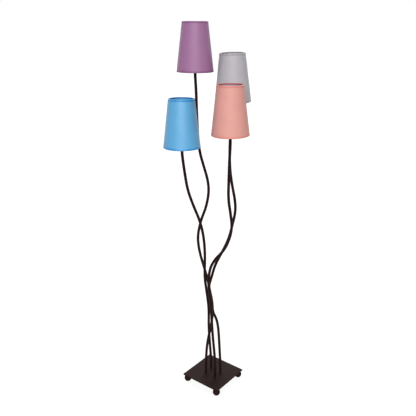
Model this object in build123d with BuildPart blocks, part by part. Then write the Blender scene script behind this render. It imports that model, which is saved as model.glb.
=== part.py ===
# Tree floor lamp: four cone shades of fabric on four bent steel stems that wind round each other
# and rise from a square plate on ball feet.
# Millimetres. +Z is up, X and Y run along the sides of the plate, and the origin is the middle of
# the base on the floor. Heights written as "level" are measured along a shade's own axis, up from
# the shade's lower rim.
import os
from math import atan2, cos, radians, sin, sqrt, tan

from build123d import *

os.makedirs("parts", exist_ok=True)

# ---------------------------------------------------------------- driving dimensions

lamp_height = 1600.0            # floor to the top of the highest shade

# The bends and shade tops below are given for this lamp height and this shade. Heights follow the
# lamp's, and distances from the middle follow the shade's lower diameter.
drawn_height = 1600.0
drawn_shade_diameter = 150.0

# clearances
fit_gap = 0.05                  # between fixed pieces that fit into each other
running_gap = 0.10              # radial, where a thread or a sleeve turns
turning_gap = 0.30              # between faces that turn past each other

# square base plate
plate_side = 200.0
plate_thickness = 5.0
plate_corner_radius = 1.2
plate_edge_chamfer = 0.6

# ball feet, tucked in under the plate's corners
foot_diameter = 33.0
foot_inset = 15.8               # from a side of the plate to a foot's middle
foot_neck_radius = 6.0
foot_neck_length = 2.0
foot_pad_radius = 7.0
foot_pad_thickness = 2.0
foot_pad_proud = 1.0
foot_rim = 1.0                  # flat left round the pad
foot_stud_radius = 3.0
foot_stud_length = 16.0
foot_stud_chamfer = 0.5

# cast weight under the plate, with a window for the wiring
weight_side = 150.0
weight_corner_cut = 16.0
weight_thickness = 20.0
window_length = 80.0            # along X
window_width = 66.0             # along Y
window_corner_radius = 4.0
channel_width = 22.0            # from the window back to the cable gland
channel_wall = 12.0             # left between the channel and the weight's back face
weight_screw_radius = 2.5
weight_screw_x = 62.0
weight_screw_y = 48.0
weight_screw_head_radius = 4.25
weight_screw_head_height = 5.0
weight_screw_recess = 1.0
weight_screw_key_radius = 2.2
tapped_depth = 4.0              # blind threads in the plate

# sheet cover over the window
cover_thickness = 1.2
cover_margin = 9.0
cover_screw_radius = 2.0
cover_screw_inset = 4.5
cover_screw_head_radius = 3.6
cover_screw_head_height = 2.2
cover_screw_length = 8.0
cover_screw_slot_length = 4.0
cover_screw_slot_width = 0.7

# stems: steel tube, threaded through the plate and locked from below
stem_diameter = 12.0
stem_wall = 1.0
stem_pitch_x = 54.0             # hole to hole
stem_pitch_y = 40.0
stem_engagement = 8.0           # length of tube inside the lampholder
nut_height = 5.0
nut_margin = 4.0                # across flats, over the tube's diameter
washer_thickness = 1.5
washer_margin = 4.0             # radius over the tube's radius
stem_tip = 0.3                  # thread that stands out of the nut
bend_share = 0.45               # of the shorter run, taken up by each bend

# internal lead, one to each lampholder
lead_diameter = 4.2
lead_bend_radius = 5.0

# terminal block in the window
block_length = 34.0
block_width = 17.0
block_corner_radius = 1.5
block_floor_gap = 1.5           # block to cover
pole_pitch = 11.0
pole_count = 3
clamp_radius = 2.9
clamp_bore_radius = 1.6
clamp_length = 11.0
clamp_level = 5.2               # clamp axis above the block's lower face
clamp_screw_radius = 1.2
clamp_screw_head_radius = 1.55
clamp_screw_pitch = 6.0
block_screw_radius = 1.45
block_screw_head_radius = 2.3

# cable gland
gland_thread_radius = 5.0
gland_bore_radius = 3.1
gland_hex = 14.0                # across flats
gland_flange = 4.0
gland_dome_length = 9.0
gland_dome_radius = 6.5
gland_dome_nose = 4.6
gland_thread_spare = 6.0
gland_nut_height = 4.0

# shades: fabric over a stiff lining, turned in round a wire ring at each rim
shade_top_diameter = 104.0
shade_bottom_diameter = 150.0
shade_height = 193.0
cover_cloth = 0.7
lining_sheet = 0.6
skin_gap = 0.08                 # between the cloth and the lining, and behind the lining
bottom_wire_radius = 1.5
top_wire_radius = 1.25
wire_gap = 0.1
arm_wire_radius = 1.4
arm_count = 3
arm_foot_run = 13.0             # level stretch where an arm meets the lower ring
arm_head_run = 14.0             # level stretch where it leaves the fitter ring
arm_top_bend = 9.0
arm_foot_bend = 14.0
arm_weld_lap = 0.5               # how far an arm runs into the fitter ring
first_arm = 90.0                # degrees about the shade's axis
fitter_margin = 2.0             # radius over the shade ring's
fitter_thickness = 1.5

# lampholder for a small candle bulb
holder_radius = 14.0            # over the thread that the shade ring turns on
cap_base_level = 4.0
cap_boss_wall = 2.5
cap_boss_length = 4.0
cap_taper = 7.0
cap_wall = 1.4
cap_top_level = 24.0
spigot_length = 6.0
spigot_step = 1.0                # radius under the body's
spigot_wall = 1.5
flange_level = 26.5
flange_radius = 17.5
flange_thickness = 2.0
web_thickness = 2.0
holder_top_level = 58.0
mouth_depth = 7.5
mouth_clearance = 0.9
shell_wall = 0.45
shell_length = 20.0
pin_radius = 1.2
pin_offset = 5.5
pin_length = 6.5
centre_disc_radius = 2.6
centre_disc_height = 1.5
strap_lap = 0.4                 # of the outer pin's strap over the lead's end
holder_edge = 0.8
insulating_hole_radius = 4.0

# ring that clamps the shade
ring_outer_radius = 19.0
ring_height = 8.0
ring_grips = 18
ring_grip_radius = 0.9
ring_taper = 2.0

# candle bulb
bulb_cap_radius = 6.95
bulb_cap_wall = 0.35
bulb_collar_radius = 8.3
bulb_collar_height = 4.0
bulb_collar_clearance = 5.5      # above the lampholder's threaded shell
bulb_thread_length = 16.5
bulb_tip_gap = 0.2
bulb_button_radius = 2.4
bulb_button_height = 1.4
bulb_insulator_radius = 3.0     # at the button
bulb_insulator_height = 2.0
bulb_insulator_seat = 1.0       # inside the shell
bulb_shell_edge = 0.4
glass_radius = 17.5
glass_height = 71.0             # collar to tip
glass_wall = 0.8

# One entry per head. hole: which corner of the stem pattern it starts from. upright: how far the
# stem rises straight. bends: corners of its route. top: middle of the shade's upper rim. lean:
# degrees the shade's axis leans towards +X and +Y. straight: stem in line with the shade below it.
heads = {
    "purple": {
        "hole": (1, 1),
        "upright": 89,
        "bends": [
            (19, 20, 207), (11, 24, 266), (0, 25, 309), (-19, 20, 343), (-24, 25, 384),
            (-35, 21, 443), (-49, 13, 522), (-67, 1, 595), (-79, -6, 657), (-83, -7, 713),
            (-73, 4, 783), (-56, 20, 842), (-49, 30, 909), (-55, 30, 961), (-73, 24, 1021),
            (-88, 10, 1095), (-98.5, 11.5, 1235), (-102.5, 13.8, 1325),
        ],
        "top": (-109, 17, 1600),
        "lean": (-0.2, 0.6),
        "straight": 15,
    },
    "blue": {
        "hole": (-1, 1),
        "upright": 80,
        "bends": [
            (-29, 13, 165), (-32, 6, 269), (-29, 5, 365), (-35, -6, 458), (-40, -14, 530),
            (-34, -16, 630), (-34, -24, 717), (-40, -40, 794), (-58, -66, 873), (-69, -87, 942),
            (-70, -101, 1009),
        ],
        "top": (-76, -109, 1317),
        "lean": (-0.4, 0.7),
        "straight": 32,
    },
    "coral": {
        "hole": (1, -1),
        "upright": 123,
        "bends": [
            (16, -29, 283), (13, -33, 421), (6, -41, 492), (6, -43, 546), (14, -40, 600),
            (34, -29, 641), (55, -15, 668), (76, -3, 707), (95, 5, 781), (91, -5, 854),
            (87, -16, 916), (91, -20, 990), (97, -25, 1082),
        ],
        "top": (101, -32, 1375),
        "lean": (-0.5, -0.8),
        "straight": 40,
    },
    "grey": {
        "hole": (-1, -1),
        "upright": 106,
        "bends": [
            (-19, -20, 207), (-3, -4, 306), (-1, -3, 404), (-17, -16, 479), (-5, -7, 533),
            (5, 4, 590), (27, 24, 649), (47, 43, 707), (56, 54, 761), (66, 67, 832),
            (61, 69, 885), (45, 66, 953), (30, 69, 1028), (21, 80, 1144),
        ],
        "top": (13, 101, 1482),
        "lean": (-0.3, -2.0),
        "straight": 60,
    },
}

# ---------------------------------------------------------------- heights and places that follow

stem_radius = stem_diameter / 2
foot_radius = foot_diameter / 2
foot_flat_radius = foot_pad_radius + foot_rim
foot_middle = foot_pad_proud + sqrt(foot_radius**2 - foot_flat_radius**2)
foot_neck_level = foot_middle + sqrt(foot_radius**2 - foot_neck_radius**2)
plate_bottom = foot_neck_level + foot_neck_length
plate_top = plate_bottom + plate_thickness
foot_reach = plate_side / 2 - foot_inset
foot_points = [(x * foot_reach, y * foot_reach) for x in (-1, 1) for y in (-1, 1)]

weight_bottom = plate_bottom - weight_thickness
channel_end = weight_side / 2 - channel_wall
weight_screw_points = [(x * weight_screw_x, y * weight_screw_y) for x in (-1, 1) for y in (-1, 1)]
weight_screw_mouths = [
    Plane(origin=(x, y, weight_bottom), z_dir=(0, 0, -1)) for x, y in weight_screw_points
]
weight_screw_seat = weight_bottom + weight_screw_recess + weight_screw_head_height

cover_bottom = weight_bottom - cover_thickness
cover_length = window_length + 2 * cover_margin
cover_front = -window_width / 2 - cover_margin
cover_back = channel_end + cover_margin
cover_width = cover_back - cover_front
cover_middle = (cover_front + cover_back) / 2
cover_screw_points = [
    (x * (cover_length / 2 - cover_screw_inset), y)
    for x in (-1, 1)
    for y in (cover_front + cover_screw_inset, cover_back - cover_screw_inset)
]

stem_points = [(x * stem_pitch_x / 2, y * stem_pitch_y / 2) for x in (-1, 1) for y in (-1, 1)]
nut_across = stem_diameter + nut_margin
nut_top = plate_bottom - washer_thickness
stem_end = nut_top - nut_height - stem_tip

block_bottom = weight_bottom + block_floor_gap
block_height = plate_bottom - block_bottom
lead_level = block_bottom + clamp_level
lead_radius = lead_diameter / 2
pole_places = [pole_pitch * (i - (pole_count - 1) / 2) for i in range(pole_count)]
clamp_screw_points = [(x, y * clamp_screw_pitch / 2) for x in pole_places for y in (-1, 1)]
block_screw_points = [((a + b) / 2, 0) for a, b in zip(pole_places, pole_places[1:])]
clamp_points = [(x, lead_level) for x in pole_places]
clamp_face = clamp_level - clamp_radius

gland_level = weight_bottom + weight_thickness / 2

web_level = flange_level + flange_thickness
socket_floor = web_level + web_thickness
spigot_radius = holder_radius - spigot_step
spigot_level = cap_top_level - spigot_length
cap_radius = spigot_radius + cap_wall
stem_top_level = cap_base_level + stem_engagement
shell_radius = bulb_cap_radius + running_gap
bulb_collar_level = socket_floor + shell_length + bulb_collar_clearance
lead_top_level = web_level - pin_length

bulb_tip_level = socket_floor + centre_disc_height + bulb_tip_gap
fitter_level = web_level + turning_gap
fitter_inner_radius = holder_radius + turning_gap
fitter_outer_radius = ring_outer_radius + fitter_margin
ring_level = fitter_level + fitter_thickness + turning_gap

shade_slope = atan2((shade_bottom_diameter - shade_top_diameter) / 2, shade_height)
shade_slant = shade_height / cos(shade_slope)


def wall(along, inward):
    """(radius, level) of a point on the shade's wall: along the slope from the lower rim, and in."""
    radius = shade_bottom_diameter / 2 - along * sin(shade_slope) - inward * cos(shade_slope)
    return radius, along * cos(shade_slope) - inward * sin(shade_slope)


lining_near = cover_cloth + skin_gap
lining_far = lining_near + lining_sheet
hem_depth = lining_far + skin_gap
wire_depth = hem_depth + wire_gap
bottom_ring_radius, bottom_ring_level = wall(
    cover_cloth + wire_gap + bottom_wire_radius, wire_depth + bottom_wire_radius
)
top_ring_radius, top_ring_level = wall(
    shade_slant - cover_cloth - wire_gap - top_wire_radius, wire_depth + top_wire_radius
)


def bend_radii(points):
    """The largest arc at each corner of a route that its two runs leave room for."""
    radii = []
    for before, corner, after in zip(points, points[1:], points[2:]):
        arriving = corner - before
        leaving = after - corner
        half_turn = radians(arriving.get_angle(leaving)) / 2
        radii.append(bend_share * min(arriving.length, leaving.length) / tan(half_turn))
    return radii


def drawn_point(x, y, z):
    """A point of a head's entry, brought to this lamp's height and shade."""
    spread = shade_bottom_diameter / drawn_shade_diameter
    return Vector(x * spread, y * spread, z * lamp_height / drawn_height)


def lay_out(head):
    """Add a head's axis, its planes and its stem's route to its entry."""
    lean_x, lean_y = head["lean"]
    up = Vector(sin(radians(lean_x)), sin(radians(lean_y)), 1).normalized()
    side = (Vector(1, 0, 0) - up * up.X).normalized()
    rim = drawn_point(*head["top"]) - up * shade_height
    head["up"] = up
    head["side"] = side
    head["rim"] = rim
    head["axis"] = Axis(rim, up)
    head["section"] = Plane(origin=rim, x_dir=side, z_dir=side.cross(up))

    hole_x = head["hole"][0] * stem_pitch_x / 2
    hole_y = head["hole"][1] * stem_pitch_y / 2
    upright_top = drawn_point(0, 0, head["upright"]).Z
    head["route"] = [Vector(hole_x, hole_y, stem_end), Vector(hole_x, hole_y, upright_top)]
    head["route"] += [drawn_point(*bend) for bend in head["bends"]]
    head["route"] += [rim - up * head["straight"], rim + up * stem_top_level]
    head["radii"] = bend_radii(head["route"])


def level_plane(head, level):
    """Plane square to a head's axis at a level."""
    return Plane(origin=head["rim"] + head["up"] * level, x_dir=head["side"], z_dir=head["up"])


def arm_section(head, turn):
    """Section plane of a head, turned about its axis."""
    side = head["side"].rotate(Axis((0, 0, 0), head["up"]), turn)
    return Plane(origin=head["rim"], x_dir=side, z_dir=side.cross(head["up"]))


def finish(piece, label):
    """Name a piece and write its file."""
    piece.part.label = label
    export_step(piece.part, f"parts/{label}.step")


for head in heads.values():
    lay_out(head)

# ---------------------------------------------------------------- base

with BuildPart() as base_plate:
    with BuildSketch(Plane.XY.offset(plate_bottom)):
        RectangleRounded(plate_side, plate_side, plate_corner_radius)
        with Locations(*stem_points):
            Circle(stem_radius + fit_gap, mode=Mode.SUBTRACT)
    extrude(amount=plate_thickness)
    rims = base_plate.faces().sort_by(Axis.Z)
    chamfer(rims[-1].outer_wire().edges() + rims[0].outer_wire().edges(), plate_edge_chamfer)
    with BuildSketch(Plane.XY.offset(plate_bottom)):
        with Locations(*weight_screw_points):
            Circle(weight_screw_radius + fit_gap)
        with Locations(*block_screw_points):
            Circle(block_screw_radius + fit_gap)
    extrude(amount=tapped_depth, mode=Mode.SUBTRACT)
finish(base_plate, "base_plate")

with BuildPart() as ball_foot:
    with BuildSketch(Plane.XZ):
        with BuildLine():
            Line((0, foot_pad_proud), (foot_flat_radius, foot_pad_proud))
            ThreePointArc(
                (foot_flat_radius, foot_pad_proud),
                (foot_radius, foot_middle),
                (foot_neck_radius, foot_neck_level),
            )
            Polyline(
                (foot_neck_radius, foot_neck_level),
                (foot_neck_radius, plate_bottom),
                (0, plate_bottom),
                (0, foot_pad_proud),
            )
        make_face()
    revolve(axis=Axis.Z)
    with BuildSketch(Plane.XY.offset(foot_pad_proud)):
        Circle(foot_pad_radius + fit_gap)
    extrude(amount=foot_pad_thickness - foot_pad_proud, mode=Mode.SUBTRACT)
    with BuildSketch(Plane.XY.offset(plate_bottom)):
        Circle(foot_stud_radius + fit_gap)
    extrude(amount=-foot_stud_length - fit_gap, mode=Mode.SUBTRACT)

with BuildPart() as ball_feet:
    with Locations(*foot_points):
        add(ball_foot.part)
finish(ball_feet, "ball_feet")

with BuildPart() as foot_pads:
    with BuildSketch():
        with Locations(*foot_points):
            Circle(foot_pad_radius)
    extrude(amount=foot_pad_thickness)
finish(foot_pads, "foot_pads")

with BuildPart() as foot_studs:
    with BuildSketch(Plane.XY.offset(plate_bottom - foot_stud_length)):
        with Locations(*foot_points):
            Circle(foot_stud_radius)
    extrude(amount=foot_stud_length)
    chamfer(foot_studs.edges().group_by(Axis.Z)[0], foot_stud_chamfer)
finish(foot_studs, "foot_studs")

with BuildPart() as counterweight:
    with BuildSketch(Plane.XY.offset(weight_bottom)) as weight_outline:
        Rectangle(weight_side, weight_side)
        chamfer(weight_outline.vertices(), weight_corner_cut)
        RectangleRounded(window_length, window_width, window_corner_radius, mode=Mode.SUBTRACT)
        with Locations((0, channel_end / 2)):
            Rectangle(channel_width, channel_end, mode=Mode.SUBTRACT)
    extrude(amount=weight_thickness)
    with Locations(*weight_screw_mouths):
        CounterBoreHole(
            weight_screw_radius + turning_gap,
            weight_screw_head_radius + turning_gap,
            weight_screw_seat - weight_bottom,
            weight_thickness,
        )
    with BuildSketch(Plane.XY.offset(weight_bottom)):
        with Locations(*cover_screw_points):
            Circle(cover_screw_radius + fit_gap)
    extrude(amount=cover_screw_length, mode=Mode.SUBTRACT)
    with BuildSketch(Plane(origin=(0, channel_end, gland_level), z_dir=(0, 1, 0))):
        Circle(gland_thread_radius + fit_gap)
    extrude(amount=channel_wall, mode=Mode.SUBTRACT)
finish(counterweight, "counterweight")

with BuildPart() as weight_screw:
    with BuildSketch(Plane.XY.offset(weight_screw_seat)):
        Circle(weight_screw_radius)
    extrude(amount=plate_bottom + tapped_depth - fit_gap - weight_screw_seat)
    with BuildSketch(Plane.XY.offset(weight_screw_seat)):
        Circle(weight_screw_head_radius)
    extrude(amount=-weight_screw_head_height)
    with BuildSketch(Plane.XY.offset(weight_screw_seat - weight_screw_head_height)):
        RegularPolygon(weight_screw_key_radius, 6)
    extrude(amount=weight_screw_head_height / 2, mode=Mode.SUBTRACT)

with BuildPart() as weight_screws:
    with Locations(*weight_screw_points):
        add(weight_screw.part)
finish(weight_screws, "weight_screws")

with BuildPart() as bottom_cover:
    with BuildSketch(Plane.XY.offset(cover_bottom)):
        with Locations((0, cover_middle)):
            RectangleRounded(cover_length, cover_width, cover_margin / 2)
        with Locations(*cover_screw_points):
            Circle(cover_screw_radius + turning_gap, mode=Mode.SUBTRACT)
    extrude(amount=cover_thickness)
finish(bottom_cover, "bottom_cover")

with BuildPart() as cover_screw:
    with BuildSketch(Plane.XY.offset(cover_bottom - cover_screw_head_height)):
        Circle(cover_screw_head_radius)
    extrude(amount=cover_screw_head_height)
    fillet(cover_screw.edges().group_by(Axis.Z)[0], cover_screw_head_height / 2)
    with BuildSketch(Plane.XY.offset(cover_bottom)):
        Circle(cover_screw_radius)
    extrude(amount=cover_thickness + cover_screw_length - fit_gap)
    with BuildSketch(Plane.XY.offset(cover_bottom - cover_screw_head_height)):
        Rectangle(cover_screw_slot_length, cover_screw_slot_width)
        Rectangle(cover_screw_slot_width, cover_screw_slot_length)
    extrude(amount=cover_screw_head_height / 2, mode=Mode.SUBTRACT)

with BuildPart() as cover_screws:
    with Locations(*cover_screw_points):
        add(cover_screw.part)
finish(cover_screws, "cover_screws")

with BuildPart() as stem_washers:
    with BuildSketch(Plane.XY.offset(nut_top)):
        with Locations(*stem_points):
            Circle(stem_radius + washer_margin)
            Circle(stem_radius + fit_gap, mode=Mode.SUBTRACT)
    extrude(amount=washer_thickness)
finish(stem_washers, "stem_washers")

with BuildPart() as stem_nuts:
    with BuildSketch(Plane.XY.offset(nut_top - nut_height)):
        with Locations(*stem_points):
            RegularPolygon(nut_across / 2, 6, major_radius=False)
            Circle(stem_radius + fit_gap, mode=Mode.SUBTRACT)
    extrude(amount=nut_height)
finish(stem_nuts, "stem_nuts")

# ---------------------------------------------------------------- wiring in the base

with BuildPart() as terminal_block:
    with BuildSketch(Plane.XY.offset(block_bottom)):
        RectangleRounded(block_length, block_width, block_corner_radius)
        with Locations(*block_screw_points):
            Circle(block_screw_radius + turning_gap, mode=Mode.SUBTRACT)
    extrude(amount=block_height)
    with BuildSketch(Plane.XZ.offset(-block_width / 2)):
        with Locations(*clamp_points):
            Circle(clamp_radius + fit_gap)
    extrude(amount=block_width, mode=Mode.SUBTRACT)
    with BuildSketch(Plane.XY.offset(block_bottom)):
        with Locations(*clamp_screw_points):
            Circle(clamp_screw_head_radius + fit_gap)
    extrude(amount=clamp_level, mode=Mode.SUBTRACT)
    with BuildSketch(Plane.XY.offset(block_bottom)):
        with Locations(*block_screw_points):
            Circle(block_screw_head_radius + turning_gap)
    extrude(amount=clamp_level / 2, mode=Mode.SUBTRACT)
finish(terminal_block, "terminal_block")

with BuildPart() as terminal_clamps:
    with BuildSketch(Plane.XZ.offset(-clamp_length / 2)):
        with Locations(*clamp_points):
            Circle(clamp_radius)
            Circle(clamp_bore_radius, mode=Mode.SUBTRACT)
    extrude(amount=clamp_length)
    with BuildSketch(Plane.XY.offset(block_bottom)):
        with Locations(*clamp_screw_points):
            Circle(clamp_screw_radius + fit_gap)
    extrude(amount=clamp_level, mode=Mode.SUBTRACT)
finish(terminal_clamps, "terminal_clamps")

with BuildPart() as terminal_screws:
    with BuildSketch(Plane.XY.offset(block_bottom + fit_gap)):
        with Locations(*clamp_screw_points):
            Circle(clamp_screw_head_radius)
    extrude(amount=clamp_face - 2 * fit_gap)
    with BuildSketch(Plane.XY.offset(block_bottom + clamp_face - 2 * fit_gap)):
        with Locations(*clamp_screw_points):
            Circle(clamp_screw_radius)
    extrude(amount=clamp_radius)
    with BuildSketch(Plane.XY.offset(block_bottom + fit_gap)):
        with Locations(*block_screw_points):
            Circle(block_screw_head_radius)
    extrude(amount=clamp_level / 2 - fit_gap)
    with BuildSketch(Plane.XY.offset(block_bottom + clamp_level / 2)):
        with Locations(*block_screw_points):
            Circle(block_screw_radius)
    extrude(amount=block_height - clamp_level / 2 + tapped_depth - fit_gap)
finish(terminal_screws, "terminal_screws")

gland_wall_plane = Plane(origin=(0, weight_side / 2, gland_level), x_dir=(1, 0, 0), z_dir=(0, 1, 0))
gland_thread = channel_wall + gland_thread_spare

with BuildPart() as cable_gland:
    with BuildSketch(gland_wall_plane):
        RegularPolygon(gland_hex / 2, 6, major_radius=False)
    extrude(amount=gland_flange)
    with BuildSketch(gland_wall_plane.offset(gland_flange)):
        Circle(gland_dome_radius)
    with BuildSketch(gland_wall_plane.offset(gland_flange + gland_dome_length)):
        Circle(gland_dome_nose)
    loft()
    with BuildSketch(gland_wall_plane):
        Circle(gland_thread_radius)
    extrude(amount=-gland_thread)
    with BuildSketch(gland_wall_plane.offset(-gland_thread)):
        Circle(gland_bore_radius)
    extrude(amount=gland_thread + gland_flange + gland_dome_length, mode=Mode.SUBTRACT)
finish(cable_gland, "cable_gland")

with BuildPart() as gland_nut:
    with BuildSketch(gland_wall_plane.offset(-channel_wall)):
        RegularPolygon(gland_hex / 2, 6, major_radius=False)
        Circle(gland_thread_radius + fit_gap, mode=Mode.SUBTRACT)
    extrude(amount=-gland_nut_height)
finish(gland_nut, "gland_nut")

# ---------------------------------------------------------------- heads


def turned(head, outline):
    """Solid of revolution about a head's axis, from a closed (radius, level) outline."""
    with BuildPart() as solid:
        with BuildSketch(head["section"]):
            with BuildLine():
                Polyline(*outline, close=True)
            make_face()
        revolve(axis=head["axis"])
    return solid.part


def make_stem(head):
    with BuildPart() as stem:
        with BuildLine() as route:
            FilletPolyline(*head["route"], radius=head["radii"])
        with BuildSketch(Plane(origin=route.line @ 0, z_dir=route.line % 0)):
            Circle(stem_radius)
            Circle(stem_radius - stem_wall, mode=Mode.SUBTRACT)
        sweep()
    return stem


def make_lead(head):
    side_x, side_y = head["hole"]
    pole_x = side_x * pole_places[-1]
    stem_x, stem_y = head["route"][0].X, head["route"][0].Y
    tail = [
        Vector(pole_x, side_y * clamp_length / 2, lead_level),
        Vector(pole_x, stem_y, lead_level),
        Vector(stem_x, stem_y, lead_level),
    ]
    above = head["route"][1:-1] + [head["rim"] + head["up"] * lead_top_level]
    with BuildPart() as lead:
        with BuildLine() as route:
            FilletPolyline(*tail, *above, radius=[lead_bend_radius] * 2 + head["radii"])
        with BuildSketch(Plane(origin=route.line @ 0, z_dir=route.line % 0)):
            Circle(lead_radius)
        sweep()
    return lead


def make_holder_cap(head):
    boss_radius = stem_radius + cap_boss_wall
    boss_top = cap_base_level + cap_boss_length
    inner_radius = spigot_radius + fit_gap
    bore = stem_radius + fit_gap
    profile = turned(head, [
        (bore, cap_base_level),
        (boss_radius, cap_base_level),
        (boss_radius, boss_top),
        (cap_radius, boss_top + cap_taper),
        (cap_radius, cap_top_level),
        (inner_radius, cap_top_level),
        (inner_radius, boss_top + cap_taper + cap_wall),
        (bore, stem_top_level),
    ])
    with BuildPart() as holder_cap:
        add(profile)
    return holder_cap


def make_holder_body(head):
    bore = shell_radius + shell_wall + fit_gap
    mouth = bulb_collar_radius + mouth_clearance
    inner_radius = spigot_radius - spigot_wall
    profile = turned(head, [
        (inner_radius, spigot_level),
        (spigot_radius, spigot_level),
        (spigot_radius, cap_top_level),
        (holder_radius, cap_top_level),
        (holder_radius, flange_level),
        (flange_radius, flange_level),
        (flange_radius, web_level),
        (holder_radius, web_level),
        (holder_radius, holder_top_level - holder_edge),
        (holder_radius - holder_edge, holder_top_level),
        (mouth, holder_top_level),
        (mouth, holder_top_level - mouth_depth),
        (bore, holder_top_level - mouth_depth),
        (bore, socket_floor),
        (0, socket_floor),
        (0, web_level),
        (inner_radius, web_level),
    ])
    with BuildPart() as holder_body:
        add(profile)
        with BuildSketch(level_plane(head, web_level)):
            with Locations((0, 0), (pin_offset, 0)):
                Circle(pin_radius + fit_gap)
        extrude(amount=web_thickness, mode=Mode.SUBTRACT)
    return holder_body


def make_contacts(head):
    outer = shell_radius + shell_wall
    floor = socket_floor + shell_wall
    disc_level = bulb_tip_level - bulb_tip_gap
    strap_length = pin_offset - lead_radius + strap_lap
    profile = turned(head, [
        (insulating_hole_radius, socket_floor),
        (outer, socket_floor),
        (outer, socket_floor + shell_length),
        (shell_radius, socket_floor + shell_length),
        (shell_radius, floor),
        (insulating_hole_radius, floor),
    ])
    with BuildPart() as contacts:
        add(profile)
        with BuildSketch(level_plane(head, lead_top_level)):
            with Locations((pin_offset, 0)):
                Circle(pin_radius)
        extrude(amount=floor - lead_top_level)
        with BuildSketch(level_plane(head, lead_top_level)):
            with Locations((lead_radius - strap_lap, 0)):
                Rectangle(strap_length, pin_radius * 2, align=(Align.MIN, Align.CENTER))
        extrude(amount=pin_radius)
        with BuildSketch(level_plane(head, lead_top_level)):
            Circle(pin_radius)
        extrude(amount=disc_level - lead_top_level)
        with BuildSketch(level_plane(head, disc_level - shell_wall)):
            Circle(centre_disc_radius)
        extrude(amount=shell_wall)
    return contacts


def make_shade_ring(head):
    profile = turned(head, [
        (holder_radius + running_gap, ring_level),
        (ring_outer_radius, ring_level),
        (ring_outer_radius, ring_level + ring_height / 2),
        (ring_outer_radius - ring_taper, ring_level + ring_height),
        (holder_radius + running_gap, ring_level + ring_height),
    ])
    with BuildPart() as shade_ring:
        add(profile)
        with BuildSketch(level_plane(head, ring_level)):
            with PolarLocations(ring_outer_radius, ring_grips):
                Circle(ring_grip_radius)
        extrude(amount=ring_height, mode=Mode.SUBTRACT)
    return shade_ring


def make_shade_frame(head):
    """Lower ring, arms and fitter ring welded in one, and the loose ring of the upper rim."""
    arm_level = fitter_level + fitter_thickness / 2
    profile = turned(head, [
        (fitter_inner_radius, fitter_level),
        (fitter_outer_radius, fitter_level),
        (fitter_outer_radius, fitter_level + fitter_thickness),
        (fitter_inner_radius, fitter_level + fitter_thickness),
    ])
    with BuildPart() as shade_frame:
        add(profile)
        for radius, level, wire in (
            (bottom_ring_radius, bottom_ring_level, bottom_wire_radius),
            (top_ring_radius, top_ring_level, top_wire_radius),
        ):
            with BuildSketch(head["section"]):
                with Locations((radius, level)):
                    Circle(wire)
            revolve(axis=head["axis"])
        for i in range(arm_count):
            plane = arm_section(head, first_arm + 360 / arm_count * i)
            corners = [
                (fitter_outer_radius - arm_weld_lap, arm_level),
                (fitter_outer_radius + arm_head_run, arm_level),
                (bottom_ring_radius - arm_foot_run, bottom_ring_level),
                (bottom_ring_radius, bottom_ring_level),
            ]
            with BuildLine(plane) as arm:
                FilletPolyline(*corners, radius=[arm_top_bend, arm_foot_bend])
            with BuildSketch(Plane(origin=arm.line @ 0, z_dir=arm.line % 0)):
                Circle(arm_wire_radius)
            sweep(path=arm.line)
    return shade_frame


def make_shade_lining(head):
    profile = turned(head, [
        wall(lining_near, lining_near),
        wall(shade_slant - lining_near, lining_near),
        wall(shade_slant - lining_near, lining_far),
        wall(lining_near, lining_far),
    ])
    with BuildPart() as shade_lining:
        add(profile)
    return shade_lining


def make_shade_cover(head):
    """Cloth cone whose hems wrap round the wire rings, notched where the arms come through."""
    top_hem = 2 * (cover_cloth + wire_gap + top_wire_radius)
    bottom_hem = 2 * (cover_cloth + wire_gap + bottom_wire_radius)
    top_depth = wire_depth + 2 * top_wire_radius + wire_gap + cover_cloth
    bottom_depth = wire_depth + 2 * bottom_wire_radius + wire_gap + cover_cloth
    profile = turned(head, [
        wall(0, 0),
        wall(shade_slant, 0),
        wall(shade_slant, top_depth),
        wall(shade_slant - top_hem, top_depth),
        wall(shade_slant - top_hem, hem_depth),
        wall(shade_slant - top_hem + cover_cloth, hem_depth),
        wall(shade_slant - top_hem + cover_cloth, top_depth - cover_cloth),
        wall(shade_slant - cover_cloth, top_depth - cover_cloth),
        wall(shade_slant - cover_cloth, cover_cloth),
        wall(cover_cloth, cover_cloth),
        wall(cover_cloth, bottom_depth - cover_cloth),
        wall(bottom_hem - cover_cloth, bottom_depth - cover_cloth),
        wall(bottom_hem - cover_cloth, hem_depth),
        wall(bottom_hem, hem_depth),
        wall(bottom_hem, bottom_depth),
        wall(0, bottom_depth),
    ])
    with BuildPart() as shade_cover:
        add(profile)
        for i in range(arm_count):
            plane = arm_section(head, first_arm + 360 / arm_count * i)
            start = plane.from_local_coords(Vector(bottom_ring_radius - arm_foot_run, bottom_ring_level, 0))
            with BuildSketch(Plane(origin=start, z_dir=plane.x_dir)):
                Circle(arm_wire_radius + 2 * wire_gap)
            extrude(amount=arm_foot_run, mode=Mode.SUBTRACT)
    return shade_cover


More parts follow.
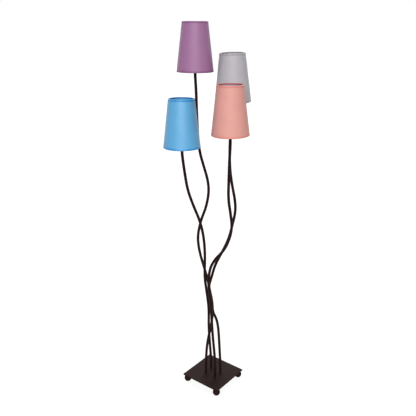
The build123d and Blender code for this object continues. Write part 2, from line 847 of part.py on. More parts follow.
def make_bulb_cap(head):
    """Solder tip, glass insulator and the thin threaded shell with its collar."""
    inner = bulb_cap_radius - bulb_cap_wall
    collar_inner = bulb_collar_radius - bulb_cap_wall
    collar_top = bulb_collar_level + bulb_collar_height
    button = bulb_tip_level + bulb_button_height
    shell_base = button + bulb_insulator_height
    shell_top = shell_base + bulb_thread_length
    solder_tip = turned(head, [
        (0, bulb_tip_level),
        (bulb_button_radius, bulb_tip_level + bulb_shell_edge),
        (bulb_button_radius, button),
        (0, button),
    ])
    insulator = turned(head, [
        (0, button + fit_gap),
        (bulb_insulator_radius, button + fit_gap),
        (inner - fit_gap, shell_base),
        (inner - fit_gap, shell_base + bulb_insulator_seat),
        (0, shell_base + bulb_insulator_seat),
    ])
    shell = turned(head, [
        (inner, shell_base),
        (bulb_cap_radius, shell_base + bulb_shell_edge),
        (bulb_cap_radius, shell_top),
        (bulb_collar_radius, bulb_collar_level),
        (bulb_collar_radius, collar_top),
        (collar_inner, collar_top),
        (collar_inner, bulb_collar_level),
        (inner, shell_top),
    ])
    with BuildPart() as bulb_cap:
        add([solder_tip, insulator, shell])
    return bulb_cap


def glass_points(inset):
    """(radius, level) points of the candle outline from the collar to the tip, drawn in by inset."""
    base = bulb_collar_level + bulb_collar_height
    neck = bulb_collar_radius - bulb_cap_wall - fit_gap
    return [
        (neck - inset, base),
        (glass_radius * 0.83 - inset, base + glass_height * 0.17),
        (glass_radius - inset, base + glass_height * 0.38),
        (glass_radius * 0.84 - inset, base + glass_height * 0.66),
        (glass_radius * 0.46 - inset * 0.8, base + glass_height * 0.90 - inset * 0.5),
        (0, base + glass_height - inset),
    ]


def make_bulb_glass(head):
    neck_base = bulb_collar_level + fit_gap
    outside = glass_points(0)
    inside = glass_points(glass_wall)
    with BuildPart() as bulb_glass:
        with BuildSketch(head["section"]):
            with BuildLine():
                Spline(*outside, tangents=[(0.25, 1), (-1, 0)])
                Line(outside[-1], inside[-1])
                Spline(*inside, tangents=[(0.25, 1), (-1, 0)])
                Polyline(
                    inside[0],
                    (inside[0][0], neck_base),
                    (outside[0][0], neck_base),
                    outside[0],
                )
            make_face()
        revolve(axis=head["axis"])
    return bulb_glass


head_pieces = {
    "stem": make_stem,
    "lead": make_lead,
    "holder_cap": make_holder_cap,
    "holder_body": make_holder_body,
    "contacts": make_contacts,
    "shade_ring": make_shade_ring,
    "shade_frame": make_shade_frame,
    "shade_lining": make_shade_lining,
    "shade_cover": make_shade_cover,
    "bulb_cap": make_bulb_cap,
    "bulb_glass": make_bulb_glass,
}

for name, head in heads.items():
    for piece_name, make_piece in head_pieces.items():
        finish(make_piece(head), f"{piece_name}_{name}")
    rim, up = head["rim"], head["up"]
    print(name, "stem bends, radius in mm:", [round(radius) for radius in head["radii"]])
    print(f"  lower rim at ({rim.X:.2f}, {rim.Y:.2f}, {rim.Z:.2f})")
    print(f"  axis ({up.X:.5f}, {up.Y:.5f}, {up.Z:.5f})")

print(f"plate top {plate_top:.2f}, weight bottom {weight_bottom:.2f}, gland axis {gland_level:.2f}")
print(f"bend radius of the leads under the plate {lead_bend_radius:.1f}")
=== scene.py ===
import math

import bmesh
import bpy
from mathutils import Matrix, Vector, noise


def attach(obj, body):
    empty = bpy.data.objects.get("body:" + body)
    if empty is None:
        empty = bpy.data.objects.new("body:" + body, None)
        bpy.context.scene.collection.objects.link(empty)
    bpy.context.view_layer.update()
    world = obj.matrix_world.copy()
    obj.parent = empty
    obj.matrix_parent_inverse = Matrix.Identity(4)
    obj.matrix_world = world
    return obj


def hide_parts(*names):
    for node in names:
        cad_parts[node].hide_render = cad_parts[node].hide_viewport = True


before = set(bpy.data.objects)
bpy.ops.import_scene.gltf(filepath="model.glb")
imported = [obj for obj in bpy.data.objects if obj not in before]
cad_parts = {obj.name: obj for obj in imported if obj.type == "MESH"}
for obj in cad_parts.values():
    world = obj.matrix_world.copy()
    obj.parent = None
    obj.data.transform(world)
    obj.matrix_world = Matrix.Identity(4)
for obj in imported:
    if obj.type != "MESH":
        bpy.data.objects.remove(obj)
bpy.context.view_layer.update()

mm = 0.001

# Where each head stands, in millimetres and degrees, as in the CAD source. The bends are the corners of its
# stem's route.
heads = {
    "purple": {
        "hole": (27, 20), "upright": 89, "top": (-109, 17, 1600), "lean": (-0.2, 0.6), "straight": 15,
        "bends": [
            (19, 20, 207), (11, 24, 266), (0, 25, 309), (-19, 20, 343), (-24, 25, 384), (-35, 21, 443),
            (-49, 13, 522), (-67, 1, 595), (-79, -6, 657), (-83, -7, 713), (-73, 4, 783), (-56, 20, 842),
            (-49, 30, 909), (-55, 30, 961), (-73, 24, 1021), (-88, 10, 1095), (-98.5, 11.5, 1235),
            (-102.5, 13.8, 1325),
        ],
        "seam": 118,  # degrees about the shade's axis, on the side away from the camera
    },
    "blue": {
        "hole": (-27, 20), "upright": 80, "top": (-76, -109, 1317), "lean": (-0.4, 0.7), "straight": 32,
        "bends": [
            (-29, 13, 165), (-32, 6, 269), (-29, 5, 365), (-35, -6, 458), (-40, -14, 530), (-34, -16, 630),
            (-34, -24, 717), (-40, -40, 794), (-58, -66, 873), (-69, -87, 942), (-70, -101, 1009),
        ],
        "seam": 142,
    },
    "coral": {
        "hole": (27, -20), "upright": 123, "top": (101, -32, 1375), "lean": (-0.5, -0.8), "straight": 40,
        "bends": [
            (16, -29, 283), (13, -33, 421), (6, -41, 492), (6, -43, 546), (14, -40, 600), (34, -29, 641),
            (55, -15, 668), (76, -3, 707), (95, 5, 781), (91, -5, 854), (87, -16, 916), (91, -20, 990),
            (97, -25, 1082),
        ],
        "seam": 131,
    },
    "grey": {
        "hole": (-27, -20), "upright": 106, "top": (13, 101, 1482), "lean": (-0.3, -2.0), "straight": 60,
        "bends": [
            (-19, -20, 207), (-3, -4, 306), (-1, -3, 404), (-17, -16, 479), (-5, -7, 533), (5, 4, 590),
            (27, 24, 649), (47, 43, 707), (56, 54, 761), (66, 67, 832), (61, 69, 885), (45, 66, 953),
            (30, 69, 1028), (21, 80, 1144),
        ],
        "seam": 125,
    },
}

shadeShape = {
    "topRadius": 52 * mm, "bottomRadius": 75 * mm, "height": 193 * mm,
    "columns": 144, "wallRows": 14, "liningRows": 12, "easeRows": 5,
    "sharp": 60,                       # edges above this angle stay sharp, in degrees
    "cloth": 0.5 * mm,                 # thickness of the cloth with its glue
    "lining": (0.78 * mm, 1.38 * mm),  # depth of the lining's two faces behind the cloth's outer face
    "liningEdge": 6.2 * mm,            # the lining stops this far from each rim
    # The hems: a band at each rim where the cloth has no lining behind it. It is turned in round a wire,
    # given by its distance along the slope and inward, and by the radius of the cloth round it.
    "bottomWire": (2.3 * mm, 3.06 * mm, 2.3 * mm),
    "topWire": (2.05 * mm, 2.81 * mm, 2.05 * mm),
    "hemTurn": 115, "hemSteps": 13,    # where the turned-in edge ends behind the wire, in degrees
    "bulge": 0.55 * mm,                # how far a hem stands proud
    "hemBand": 8.2 * mm,
    "hemFade": 0.4 * mm,               # from the end of a hem's swell to the lining's edge
    "edgeLine": (0.10 * mm, 0.5 * mm),  # depth and width of the line that shows at the lining's edge
    "wallFrom": 2 * mm,                # the plain wall starts this far past a hem
    "turnIn": 9 * mm,                  # cloth turned in at each rim, in the flat cut
    # The seam: a lap that rises sharply at its edge and fades out on its other side, both in radians.
    "seamLap": 8 * mm, "seamStep": 0.45 * mm, "seamRise": 0.004, "seamFade": 0.03,
}
shadeShape["slope"] = math.atan2(shadeShape["bottomRadius"] - shadeShape["topRadius"], shadeShape["height"])
shadeShape["slant"] = shadeShape["height"] / math.cos(shadeShape["slope"])


# making meshes and placing them


def makePiece(name, points, faces, sharp=35, uvs=None):
    mesh = bpy.data.meshes.new(name)
    mesh.from_pydata([tuple(p) for p in points], [], faces)
    if uvs:
        layer = mesh.uv_layers.new(name="UVMap")
        for loop in mesh.loops:
            layer.data[loop.index].uv = uvs[loop.vertex_index]
    mesh.shade_smooth()
    mesh.set_sharp_from_angle(angle=math.radians(sharp))
    piece = bpy.data.objects.new(name, mesh)
    bpy.context.scene.collection.objects.link(piece)
    return piece


def headPlace(head):
    # matrix of a head: origin in the middle of the shade's lower rim, z along the shade's axis
    leanX, leanY = (math.sin(math.radians(a)) for a in head["lean"])
    up = Vector((leanX, leanY, 1)).normalized()
    side = (Vector((1, 0, 0)) - up * up.x).normalized()
    rim = Vector(head["top"]) * mm - up * shadeShape["height"]
    place = Matrix((side, up.cross(side), up)).transposed().to_4x4()
    place.translation = rim
    return place


def lathe(name, outline, place, columns):
    # turns a closed outline of (radius, level) about the head's axis
    points, faces = [], []
    for radius, level in outline:
        for i in range(columns):
            turn = math.tau * i / columns
            points.append(place @ Vector((radius * math.cos(turn), radius * math.sin(turn), level)))
    for row in range(len(outline)):
        low, high = row * columns, (row + 1) % len(outline) * columns
        for i in range(columns):
            j = (i + 1) % columns
            faces.append((low + i, low + j, high + j, high + i))
    return makePiece(name, points, faces)


def settle(piece, body, slot, material, *nodes):
    piece.data.materials.clear()
    piece.data.materials.append(material)
    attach(piece, body)
    if nodes:
        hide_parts(*nodes)
    return piece


# materials


def startMaterial(name):
    material = bpy.data.materials.new(name)
    material.use_nodes = True
    tree = material.node_tree
    tree.nodes.clear()
    shader = tree.nodes.new("ShaderNodeBsdfPrincipled")
    surface = tree.nodes.new("ShaderNodeOutputMaterial")
    tree.links.new(shader.outputs["BSDF"], surface.inputs["Surface"])
    return material, tree, shader


def addNode(tree, kind, settings, inputs, output=0):
    # adds a node and gives back one of its outputs; an input is a value or another node's output
    node = tree.nodes.new(kind)
    for key, value in settings.items():
        setattr(node, key, value)
    for key, value in inputs.items():
        if isinstance(value, bpy.types.NodeSocket):
            tree.links.new(value, node.inputs[key])
        else:
            node.inputs[key].default_value = value
    return node.outputs[output]


def mathNode(tree, operation, *values):
    return addNode(tree, "ShaderNodeMath", {"operation": operation}, dict(enumerate(values)))


def mixColours(tree, share, first, second, blend="MIX"):
    settings = {"data_type": "RGBA", "blend_type": blend}
    return addNode(tree, "ShaderNodeMix", settings, {0: share, 6: first, 7: second}, 2)


def noiseAt(tree, where, scale, detail=3.0, stretch=(1, 1, 1)):
    moved = addNode(tree, "ShaderNodeMapping", {}, {"Vector": where, "Scale": stretch})
    return addNode(tree, "ShaderNodeTexNoise", {}, {"Vector": moved, "Scale": scale, "Detail": detail})


def spread(tree, value, low, high, fromLow=0.3, fromHigh=0.7):
    inputs = {"Value": value, "From Min": fromLow, "From Max": fromHigh, "To Min": low, "To Max": high}
    return addNode(tree, "ShaderNodeMapRange", {}, inputs)


def addBump(tree, shader, strength, depth, height):
    inputs = {"Strength": strength, "Distance": depth, "Height": height}
    tree.links.new(addNode(tree, "ShaderNodeBump", {}, inputs), shader.inputs["Normal"])


# Hard finishes. Colours are linear, mottle and grain are noise scales per metre, and depth is in millimetres.
finishes = {
    "enamel": {"dark": (0.0135, 0.0054, 0.0055), "light": (0.0205, 0.0082, 0.0083), "specular": 0.036,
               "rough": (0.40, 0.52), "mottle": 38, "grain": 950, "depth": 0.02},
    "coverSheet": {"dark": (0.018, 0.014, 0.014), "light": (0.030, 0.025, 0.025),
                   "rough": (0.4, 0.55), "mottle": 60, "grain": 700, "depth": 0.02},
    "rubber": {"dark": (0.012, 0.012, 0.012), "light": (0.03, 0.03, 0.029),
               "rough": (0.75, 0.92), "mottle": 120, "grain": 1400, "depth": 0.03},
    "zinc": {"dark": (0.42, 0.43, 0.45), "light": (0.62, 0.62, 0.60), "metallic": 1.0,
             "rough": (0.24, 0.42), "mottle": 260, "grain": 1800, "depth": 0.01},
    "castIron": {"dark": (0.022, 0.021, 0.022), "light": (0.055, 0.05, 0.048),
                 "rough": (0.6, 0.82), "mottle": 90, "grain": 520, "depth": 0.12},
    "brass": {"dark": (0.52, 0.36, 0.14), "light": (0.78, 0.58, 0.27), "metallic": 1.0,
              "rough": (0.2, 0.38), "mottle": 300, "grain": 1500, "depth": 0.01},
    "blackNylon": {"dark": (0.012, 0.012, 0.013), "light": (0.026, 0.026, 0.027),
                   "rough": (0.42, 0.56), "mottle": 110, "grain": 1600, "depth": 0.02},
    "paleNylon": {"dark": (0.62, 0.60, 0.53), "light": (0.74, 0.72, 0.66),
                  "rough": (0.4, 0.52), "mottle": 90, "grain": 1500, "depth": 0.015},
    "sheath": {"dark": (0.62, 0.62, 0.60), "light": (0.74, 0.74, 0.72),
               "rough": (0.38, 0.5), "mottle": 140, "grain": 1200, "depth": 0.01},
    "holderPlastic": {"dark": (0.72, 0.71, 0.67), "light": (0.80, 0.79, 0.76),
                      "rough": (0.3, 0.42), "mottle": 80, "grain": 1700, "depth": 0.012},
    "wireCoat": {"dark": (0.66, 0.66, 0.645), "light": (0.78, 0.78, 0.77),
                 "rough": (0.36, 0.5), "mottle": 150, "grain": 1500, "depth": 0.025},
    "nickel": {"dark": (0.55, 0.54, 0.52), "light": (0.76, 0.75, 0.72), "metallic": 1.0,
               "rough": (0.18, 0.32), "mottle": 240, "grain": 1600, "depth": 0.008},
}
# How the fine grain joins the mottle, and what every hard finish has unless its own entry says otherwise.
hardLook = {"grainShare": 0.35, "mix": (0.45, 0.9), "bump": 0.6, "specular": 0.4}


def hardFinish(name, look):
    material, tree, shader = startMaterial(name)
    where = addNode(tree, "ShaderNodeTexCoord", {}, {}, "Object")
    mottle = noiseAt(tree, where, look["mottle"])
    fine = noiseAt(tree, where, look["grain"], detail=1.0)
    both = mathNode(tree, "MULTIPLY_ADD", fine, hardLook["grainShare"], mottle)
    share = spread(tree, both, 0, 1, *hardLook["mix"])
    colour = mixColours(tree, share, (*look["dark"], 1), (*look["light"], 1))
    tree.links.new(colour, shader.inputs["Base Color"])
    tree.links.new(spread(tree, mottle, *look["rough"]), shader.inputs["Roughness"])
    addBump(tree, shader, hardLook["bump"], look["depth"] * mm, fine)
    shader.inputs["Metallic"].default_value = look.get("metallic", 0.0)
    shader.inputs["Specular IOR Level"].default_value = look.get("specular", hardLook["specular"])
    return material


# Shade cloths: colour over the lining, the hems' tint, where the cloth alone covers the wire, the tint of the
# edge that is tucked in behind the wire, which is the cloth's back with painted shade, the lining's colour,
# which is painted light through the cloth with painted shade, and the cloth's shine and roughness.
cloths = {
    "purple": {"base": (0.320, 0.145, 0.291), "hem": (0.74, 0.66, 0.74), "tuck": (0.65, 0.55, 0.65),
               "inside": (0.42, 0.30, 0.42), "shine": 0.34, "rough": (0.40, 0.50)},
    "blue": {"base": (0.094, 0.362, 0.640), "hem": (0.13, 0.70, 0.90), "tuck": (0.13, 0.55, 0.74),
             "inside": (0.12, 0.35, 0.60), "shine": 0.62, "rough": (0.34, 0.42)},
    "coral": {"base": (0.704, 0.323, 0.281), "hem": (0.97, 0.78, 0.72), "tuck": (0.63, 0.39, 0.36),
              "inside": (0.47, 0.32, 0.43), "shine": 0.40, "rough": (0.46, 0.58)},
    "grey": {"base": (0.433, 0.418, 0.443), "hem": (0.83, 0.80, 0.81), "tuck": (0.68, 0.65, 0.67),
             "inside": (0.52, 0.50, 0.53), "shine": 0.38, "rough": (0.39, 0.48)},
}
weave = {
    "pitch": 0.55 * mm, "depth": 0.14 * mm, "bump": 0.55,
    "dip": 0.5,                         # how far a thread dips between two crossings
    "contrast": 0.16, "darkest": 0.45,  # threads against the gaps between them, which get painted shade
    "slub": 0.13, "slubScale": (1500, 28), "slubDepth": 0.6,  # long thin streaks, as uneven threads make
    "cloud": (0.975, 1.02), "cloudScale": 22.0,
    "tuckFrom": 1.2 * mm,               # the tuck's tint starts this far past a rim
}


def threadRidges(tree, along):
    turn = mathNode(tree, "MULTIPLY", along, math.pi / weave["pitch"])
    return mathNode(tree, "ABSOLUTE", mathNode(tree, "SINE", turn))


def clothTone(tree, where, split):
    # the weave's height, its slubs, and how light the cloth is at each point, with painted shade in the gaps
    # between threads
    across, along = threadRidges(tree, split.outputs[0]), threadRidges(tree, split.outputs[1])
    over = addNode(tree, "ShaderNodeTexChecker", {}, {"Vector": where, "Scale": 1 / weave["pitch"]}, "Fac")
    dip = weave["dip"]
    warp = mathNode(tree, "MULTIPLY", across, mathNode(tree, "MULTIPLY_ADD", along, dip, 1 - dip))
    weft = mathNode(tree, "MULTIPLY", along, mathNode(tree, "MULTIPLY_ADD", across, dip, 1 - dip))
    threads = addNode(tree, "ShaderNodeMix", {"data_type": "FLOAT"}, {0: over, 2: warp, 3: weft})
    fast, slow = weave["slubScale"]
    warpSlub = noiseAt(tree, where, 1.0, 2.0, (fast, slow, 1))
    weftSlub = noiseAt(tree, where, 1.0, 2.0, (slow, fast, 1))
    slub = addNode(tree, "ShaderNodeMix", {"data_type": "FLOAT"}, {0: over, 2: warpSlub, 3: weftSlub})
    lowest = 1 - weave["contrast"] * (1 - weave["darkest"])
    tone = mathNode(tree, "MULTIPLY_ADD", threads, weave["contrast"], lowest)
    tone = mathNode(tree, "MULTIPLY", tone, spread(tree, slub, 1 - weave["slub"] / 2, 1 + weave["slub"] / 2))
    cloud = noiseAt(tree, where, weave["cloudScale"], detail=2.0)
    return threads, slub, mathNode(tree, "MULTIPLY", tone, spread(tree, cloud, *weave["cloud"]))


def clothFinish(name, look):
    material, tree, shader = startMaterial(name)
    where = addNode(tree, "ShaderNodeTexCoord", {}, {}, "UV")
    split = tree.nodes.new("ShaderNodeSeparateXYZ")
    tree.links.new(where, split.inputs[0])
    threads, slub, tone = clothTone(tree, where, split)

    # the weave's map runs from rim to rim, so the hems and the tucks lie at its two ends
    middle = shadeShape["slant"] / 2
    fromMiddle = mathNode(tree, "ABSOLUTE", mathNode(tree, "SUBTRACT", split.outputs[1], middle))
    hem = mathNode(tree, "GREATER_THAN", fromMiddle, middle - shadeShape["hemBand"])
    # the tuck is darker: the cloth's back, with painted shade behind the wire
    tuck = mathNode(tree, "GREATER_THAN", fromMiddle, middle + weave["tuckFrom"])
    hemColour, tuckBackAndShadeColour = (
        tuple(base * tint for base, tint in zip(look["base"], look[part])) for part in ("hem", "tuck")
    )
    plain = mixColours(tree, hem, (*look["base"], 1), (*hemColour, 1))
    plain = mixColours(tree, tuck, plain, (*tuckBackAndShadeColour, 1))
    grey = addNode(tree, "ShaderNodeCombineColor", {}, {0: tone, 1: tone, 2: tone})
    tree.links.new(mixColours(tree, 1.0, plain, grey, "MULTIPLY"), shader.inputs["Base Color"])
    tree.links.new(spread(tree, slub, *look["rough"]), shader.inputs["Roughness"])
    height = mathNode(tree, "MULTIPLY_ADD", slub, weave["slubDepth"], threads)
    addBump(tree, shader, weave["bump"], weave["depth"], height)
    shader.inputs["Specular IOR Level"].default_value = look["shine"]
    return material


# the stiff sheet behind the cloth. Its colour is painted: the cloth's colour as painted light coming through
# it, and painted shade inside the shade
liningSheet = {
    "light": 1.06, "dark": 0.94, "patchScale": 16, "fibreScale": 420, "rough": (0.42, 0.6),
    "bump": 0.4, "depth": 0.03 * mm,
}


def liningFinish(name, look):
    material, tree, shader = startMaterial(name)
    where = addNode(tree, "ShaderNodeTexCoord", {}, {}, "Object")
    fibre = noiseAt(tree, where, liningSheet["fibreScale"], detail=4.0)
    patch = noiseAt(tree, where, liningSheet["patchScale"])
    # painted light through the cloth and painted shade, in lighter and darker patches
    dark, light = (tuple(c * liningSheet[tone] for c in look["inside"]) for tone in ("dark", "light"))
    colour = mixColours(tree, spread(tree, patch, 0, 1), (*dark, 1), (*light, 1))
    tree.links.new(colour, shader.inputs["Base Color"])
    tree.links.new(spread(tree, fibre, *liningSheet["rough"]), shader.inputs["Roughness"])
    addBump(tree, shader, liningSheet["bump"], liningSheet["depth"], fibre)
    return material


opalGlass = {
    "dark": (0.80, 0.79, 0.76), "light": (0.86, 0.85, 0.83), "hazeScale": 60, "rough": (0.10, 0.18),
    "coat": 0.5, "coatRough": 0.06,
}


def opalFinish():
    material, tree, shader = startMaterial("opalGlass")
    where = addNode(tree, "ShaderNodeTexCoord", {}, {}, "Object")
    haze = noiseAt(tree, where, opalGlass["hazeScale"])
    colour = mixColours(tree, spread(tree, haze, 0, 1), (*opalGlass["dark"], 1), (*opalGlass["light"], 1))
    tree.links.new(colour, shader.inputs["Base Color"])
    tree.links.new(spread(tree, haze, *opalGlass["rough"]), shader.inputs["Roughness"])
    shader.inputs["Coat Weight"].default_value = opalGlass["coat"]
    shader.inputs["Coat Roughness"].default_value = opalGlass["coatRough"]
    return material


materials = {name: hardFinish(name, look) for name, look in finishes.items()}
materials["opal"] = opalFinish()
clothMaterials = {name: clothFinish(name + "Cloth", look) for name, look in cloths.items()}
liningMaterials = {name: liningFinish(name + "Lining", look) for name, look in cloths.items()}
print("materials:", len(materials) + len(clothMaterials) + len(liningMaterials))


# stems

stem = {
    "radius": 6 * mm,
    "foot": 26 * mm, "plateTop": 37.8 * mm,
    "abovePlate": 8 * mm,    # the tube stands upright this far over the plate
    "underRim": 4 * mm,      # its last bend ends this far below the shade
    "engaged": 12 * mm,      # and it goes this far up into the lampholder
    "steps": 12, "sides": 7,  # fineness of the mesh along and round the tube
    "sharp": 50,
}


def stemRoute(head):
    place = headPlace(head)
    x, y = head["hole"]
    levels = (stem["foot"], stem["plateTop"] + stem["abovePlate"], head["upright"] * mm)
    route = [Vector((x * mm, y * mm, level)) for level in levels]
    route += [Vector(bend) * mm for bend in head["bends"]]
    levels = (-head["straight"] * mm, -stem["underRim"], stem["engaged"])
    return route + [place @ Vector((0, 0, level)) for level in levels]


def bentTube(name, route, radius):
    curve = bpy.data.curves.new(name, "CURVE")
    curve.dimensions = "3D"
    spline = curve.splines.new("NURBS")
    spline.points.add(len(route) - 1)
    for control, point in zip(spline.points, route):
        control.co = (*point, 1)
    spline.order_u = 3
    spline.use_endpoint_u = True
    spline.resolution_u = stem["steps"]
    curve.bevel_depth = radius
    curve.bevel_resolution = stem["sides"]
    curve.use_fill_caps = True
    drawn = bpy.data.objects.new(name, curve)
    bpy.context.scene.collection.objects.link(drawn)
    bpy.context.view_layer.update()
    mesh = bpy.data.meshes.new_from_object(drawn.evaluated_get(bpy.context.evaluated_depsgraph_get()))
    bpy.data.objects.remove(drawn)
    mesh.shade_smooth()
    mesh.set_sharp_from_angle(angle=math.radians(stem["sharp"]))
    tube = bpy.data.objects.new(name, mesh)
    bpy.context.scene.collection.objects.link(tube)
    return tube


for colour, head in heads.items():
    tube = bentTube(f"{colour}_bent_tube", stemRoute(head), stem["radius"])
    settle(tube, "base", "dark_enamel", materials["enamel"], f"stem_{colour}")
print("stems bent")


# shades


def wallPoint(along, inward):
    # (radius, level) at a distance up the slope from the lower rim, and inward from the outer face
    slope = shadeShape["slope"]
    radius = shadeShape["bottomRadius"] - along * math.sin(slope) - inward * math.cos(slope)
    return radius, along * math.cos(slope) - inward * math.sin(slope)


def hemPath(wire):
    # (along, inward) from the tucked edge behind the wire, round under it and out to the widest point
    high, deep, reach = wire
    tuck, steps = shadeShape["hemTurn"], shadeShape["hemSteps"]
    path = []
    for i in range(steps):
        turn = math.radians(tuck - (tuck + 180) * i / (steps - 1))
        out = reach if math.cos(turn) > 0 else deep + shadeShape["bulge"]
        path.append((high + reach * math.sin(turn), deep + out * math.cos(turn)))
    return path


def hemToWall(high):
    # from the hem's widest point back to the plain wall, with the faint line at the lining's edge
    band, (deep, wide) = shadeShape["hemBand"], shadeShape["edgeLine"]
    path = []
    for row in range(1, shadeShape["easeRows"] + 1):
        share = row / shadeShape["easeRows"]
        ease = share * share * (3 - 2 * share)
        path.append((high + (band - shadeShape["hemFade"] - high) * share, -shadeShape["bulge"] * (1 - ease)))
    return path + [(band, deep), (band + wide, 0.0)]


def clothPath():
    slant, rows = shadeShape["slant"], shadeShape["wallRows"]
    wires = shadeShape["bottomWire"], shadeShape["topWire"]
    lower, upper = (hemPath(wire) + hemToWall(wire[0]) for wire in wires)
    start = shadeShape["hemBand"] + shadeShape["wallFrom"]
    wall = [(start + (slant - 2 * start) * i / rows, 0.0) for i in range(rows + 1)]
    return lower + wall + [(slant - along, inward) for along, inward in reversed(upper)]


def clothLengths(path):
    # distance along the cloth, equal to the distance up the slope on the plain wall
    lengths = [0.0]
    for (a, b), (c, d) in zip(path, path[1:]):
        lengths.append(lengths[-1] + math.hypot(c - a, d - b))
    middle = len(path) // 2
    shift = path[middle][0] - lengths[middle]
    return [length + shift for length in lengths]


def offsetPath(path, depth):
    # the cloth's other face
    moved = []
    for i, (along, inward) in enumerate(path):
        a, b = path[max(i - 1, 0)], path[min(i + 1, len(path) - 1)]
        run, rise = b[0] - a[0], b[1] - a[1]
        size = math.hypot(run, rise)
        moved.append((along - depth * rise / size, inward + depth * run / size))
    return moved


def turnBetween(turn, other):
    return (turn - other + math.pi) % math.tau - math.pi


def seamTurns(seam, lapTurn):
    # column angles, with extra ones where the lap joint's edge steps up and where its swell ends
    columns, rise, fade = (shadeShape[key] for key in ("columns", "seamRise", "seamFade"))
    turns = [math.tau * i / columns for i in range(columns)]
    edge = [seam - rise, seam, seam + rise, seam + lapTurn, seam + lapTurn + fade]
    turns = [t for t in turns if all(abs(turnBetween(t, e)) > 1.5 * rise for e in edge)]
    return sorted(turns + [e % math.tau for e in edge])


def seamHeight(turn, seam, lapTurn):
    step, rise, fade = (shadeShape[key] for key in ("seamStep", "seamRise", "seamFade"))
    past = turnBetween(turn, seam)
    # the step is a quarter up at the seam itself, and all the way up one rise further on
    if past < -rise / 4 or past > lapTurn + fade:
        return 0.0
    if past <= lapTurn:
        return step * min(1.0, (past + rise / 4) / rise)
    return step * (1 - (past - lapTurn) / fade)


# How far hand work leaves the cloth from a true cone. The seed makes each shade uneven in its own way.
unevenness = {
    "hem": 0.16 * mm, "hemScale": 2.2,
    "wall": 0.10 * mm, "wallScale": 1.4, "heightScale": 9, "seed": 0.37,
}


def makeCover(colour, head, place):
    path = clothPath()
    loop = path + offsetPath(path, shadeShape["cloth"])[::-1]
    lengths = clothLengths(path)
    lengths += lengths[::-1]
    meanRadius = (shadeShape["bottomRadius"] + shadeShape["topRadius"]) / 2
    lapTurn = shadeShape["seamLap"] / meanRadius
    seam = math.radians(head["seam"])
    turns = seamTurns(seam, lapTurn)
    turns.append(turns[0] + math.tau)  # the first column again, so that the weave's map closes there
    points, uvs, faces = [], [], []
    seed = head["seam"] * unevenness["seed"]
    hemScale, wallScale = unevenness["hemScale"], unevenness["wallScale"]
    for turn in turns:
        swell = seamHeight(turn, seam, lapTurn)
        x, y = math.cos(turn), math.sin(turn)
        ripple = noise.noise(Vector((x * hemScale, y * hemScale, seed))) * unevenness["hem"]
        for (along, inward), length in zip(loop, lengths):
            fromRim = min(along, shadeShape["slant"] - along)
            nearHem = max(0.0, 1 - fromRim / shadeShape["hemBand"])
            spot = Vector((x * wallScale, y * wallScale, along * unevenness["heightScale"] + seed))
            proud = swell + nearHem * ripple + noise.noise(spot) * unevenness["wall"]
            radius, level = wallPoint(along, inward - proud)
            points.append(place @ Vector((radius * x, radius * y, level)))
            uvs.append((turn * meanRadius, length))
    size = len(loop)
    for c in range(len(turns) - 1):
        for r in range(size):
            s = (r + 1) % size
            faces.append((c * size + r, (c + 1) * size + r, (c + 1) * size + s, c * size + s))
    cover = makePiece(f"{colour}_shade_cloth", points, faces, shadeShape["sharp"], uvs)
    closeColumns(cover)
    material, node = clothMaterials[colour], f"shade_cover_{colour}"
    return settle(cover, f"shade_{colour}", f"cloth_{colour}", material, node)


def closeColumns(piece):
    # joins the first and last columns, which lie on each other; the map keeps its own values on each side
    work = bmesh.new()
    work.from_mesh(piece.data)
    bmesh.ops.remove_doubles(work, verts=work.verts, dist=1e-6)
    bmesh.ops.recalc_face_normals(work, faces=work.faces)
    work.to_mesh(piece.data)
    work.free()


def makeLining(colour, place):
    near, far = shadeShape["lining"]
    low, high = shadeShape["liningEdge"], shadeShape["slant"] - shadeShape["liningEdge"]
    rows = shadeShape["liningRows"]
    levels = [low + (high - low) * i / rows for i in range(rows + 1)]
    outline = [wallPoint(a, near) for a in levels] + [wallPoint(a, far) for a in reversed(levels)]
    lining = lathe(f"{colour}_shade_lining_sheet", outline, place, shadeShape["columns"])
    material, node = liningMaterials[colour], f"shade_lining_{colour}"
    return settle(lining, f"shade_{colour}", "shade_lining", material, node)


for colour, head in heads.items():
    place = headPlace(head)
    cover = makeCover(colour, head, place)
    lining = makeLining(colour, place)


# what the CAD holds, with its finish

cadSharp = 30  # edges above this angle stay sharp, in degrees
nodeFinishes = {
    "base_plate": "enamel", "ball_feet": "enamel", "foot_pads": "rubber", "foot_studs": "zinc",
    "counterweight": "castIron", "weight_screws": "zinc", "bottom_cover": "coverSheet",
    "cover_screws": "zinc", "stem_washers": "zinc", "stem_nuts": "zinc", "terminal_block": "paleNylon",
    "terminal_clamps": "brass", "terminal_screws": "zinc", "cable_gland": "blackNylon",
    "gland_nut": "blackNylon",
}
headFinishes = {
    "lead": "sheath", "holder_cap": "holderPlastic", "holder_body": "holderPlastic", "contacts": "brass",
    "shade_ring": "holderPlastic", "shade_frame": "wireCoat", "bulb_cap": "nickel", "bulb_glass": "opal",
}
for colour in heads:
    nodeFinishes.update({f"{piece}_{colour}": finish for piece, finish in headFinishes.items()})
for node, finish in nodeFinishes.items():
    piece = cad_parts[node]
    if not piece.material_slots:
        piece.data.materials.append(materials[finish])
    for slot in piece.material_slots:
        slot.material = materials[finish]
    piece.data.shade_smooth()
    piece.data.set_sharp_from_angle(angle=math.radians(cadSharp))
print("CAD pieces finished:", len(nodeFinishes))


# floor, light and camera

studio = {
    "floorSize": 30.0, "floorGrey": 0.24, "floorGrain": 1.01, "grainScale": 3.0, "floorRough": 0.9,
    "floorGlow": 0.85, "sky": 0.14,
}
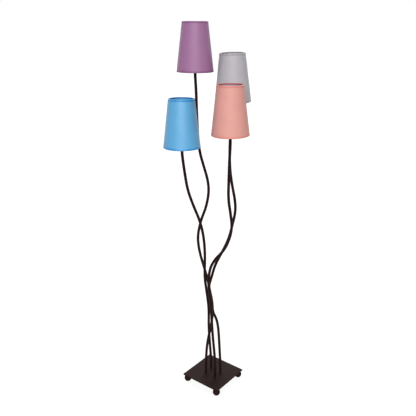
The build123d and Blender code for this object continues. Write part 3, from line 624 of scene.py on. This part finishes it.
# A lamp's turn is from the camera's side, and its height from level, both in degrees.
lamps = {
    "key": {"power": 2.97, "spread": 26, "turn": -3, "height": 24},       # beside the camera
    "back": {"power": 1.2, "spread": 45, "turn": 178, "height": 58},      # high behind, for the plate
    "farLeft": {"power": 0.9, "spread": 40, "turn": -152, "height": 26},  # two low behind, for the far sides
    "farRight": {"power": 0.9, "spread": 40, "turn": 152, "height": 26},
    "top": {"power": 0.3, "spread": 50, "turn": 0, "height": 86},         # overhead
}
view = {"sensor": 36, "lens": 46.14, "pitch": 19.016, "turn": 38.296, "place": (1.3003, -1.6855, 1.5883)}


def seenStraight(tree):
    # 1 where the background is looked at, also in a gloss or through glass, and 0 where it only lights
    rays = tree.nodes.new("ShaderNodeLightPath")
    seen = mathNode(tree, "MAXIMUM", rays.outputs["Is Camera Ray"], rays.outputs["Is Glossy Ray"])
    return mathNode(tree, "MAXIMUM", seen, rays.outputs["Is Transmission Ray"])


def makeFloor():
    half = studio["floorSize"] / 2
    corners = [(-half, -half, 0), (half, -half, 0), (half, half, 0), (-half, half, 0)]
    floor = makePiece("studioFloor", corners, [(0, 1, 2, 3)])
    material, tree, shader = startMaterial("studioFloor")
    where = addNode(tree, "ShaderNodeTexCoord", {}, {}, "Object")
    grain = noiseAt(tree, where, studio["grainScale"])
    greys = studio["floorGrey"], studio["floorGrey"] * studio["floorGrain"]
    dark, light = ((grey, grey, grey, 1) for grey in greys)
    tree.links.new(mixColours(tree, grain, dark, light), shader.inputs["Base Color"])
    shader.inputs["Roughness"].default_value = studio["floorRough"]
    shader.inputs["Specular IOR Level"].default_value = 0.0
    shader.inputs["Emission Color"].default_value = (1, 1, 1, 1)
    glow = mathNode(tree, "MULTIPLY", seenStraight(tree), studio["floorGlow"])
    tree.links.new(glow, shader.inputs["Emission Strength"])
    floor.data.materials.append(material)


def makeSky():
    world = bpy.data.worlds.new("studioSky")
    bpy.context.scene.world = world
    world.use_nodes = True
    tree = world.node_tree
    tree.nodes.clear()
    strength = spread(tree, seenStraight(tree), studio["sky"], 1.0, 0.0, 1.0)
    glow = addNode(tree, "ShaderNodeBackground", {}, {"Color": (1, 1, 1, 1), "Strength": strength})
    surface = tree.nodes.new("ShaderNodeOutputWorld")
    tree.links.new(glow, surface.inputs["Surface"])


def makeLamp(name, settings):
    light = bpy.data.lights.new(name, "SUN")
    light.energy = settings["power"]
    light.angle = math.radians(settings["spread"])
    lamp = bpy.data.objects.new(name, light)
    turn = view["turn"] + settings["turn"]
    lamp.rotation_euler = (math.radians(90 - settings["height"]), 0, math.radians(turn))
    bpy.context.scene.collection.objects.link(lamp)


def makeCamera():
    lens = bpy.data.cameras.new("camera")
    lens.sensor_width = view["sensor"]
    lens.lens = view["lens"]
    camera = bpy.data.objects.new("camera", lens)
    camera.location = view["place"]
    camera.rotation_euler = (math.radians(90 - view["pitch"]), 0, math.radians(view["turn"]))
    bpy.context.scene.collection.objects.link(camera)
    bpy.context.scene.camera = camera


makeFloor()
makeSky()
for lampName, settings in lamps.items():
    makeLamp(lampName, settings)
makeCamera()
bpy.context.scene.view_settings.view_transform = "Standard"
print("studio ready")
